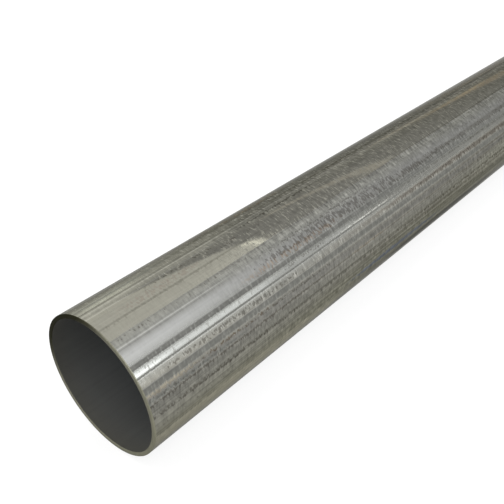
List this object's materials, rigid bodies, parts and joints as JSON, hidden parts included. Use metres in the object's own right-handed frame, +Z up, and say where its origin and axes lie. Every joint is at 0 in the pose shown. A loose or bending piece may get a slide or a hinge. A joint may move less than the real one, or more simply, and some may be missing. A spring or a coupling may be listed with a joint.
{
  "type": "round steel tube",
  "caption": "Straight round steel tube with a thin wall, a clear through bore and square sawn ends with broken edges, cut as stock for frames, posts and rails.",
  "frame": {"origin": "on the floor under the middle of the tube, so the tube rests on the XY plane", "axes": "+X along the tube from the end that faces the viewer to the other end, +Z up"},
  "size_m": [1, 0.05, 0.0498],
  "materials": {
    "mill_finish_steel": "cold-rolled mill finish, semi-gloss, drawn streaks along the tube"
  },
  "bodies": {
    "root": {"tube": "mill_finish_steel"}
  },
  "joints": []
}
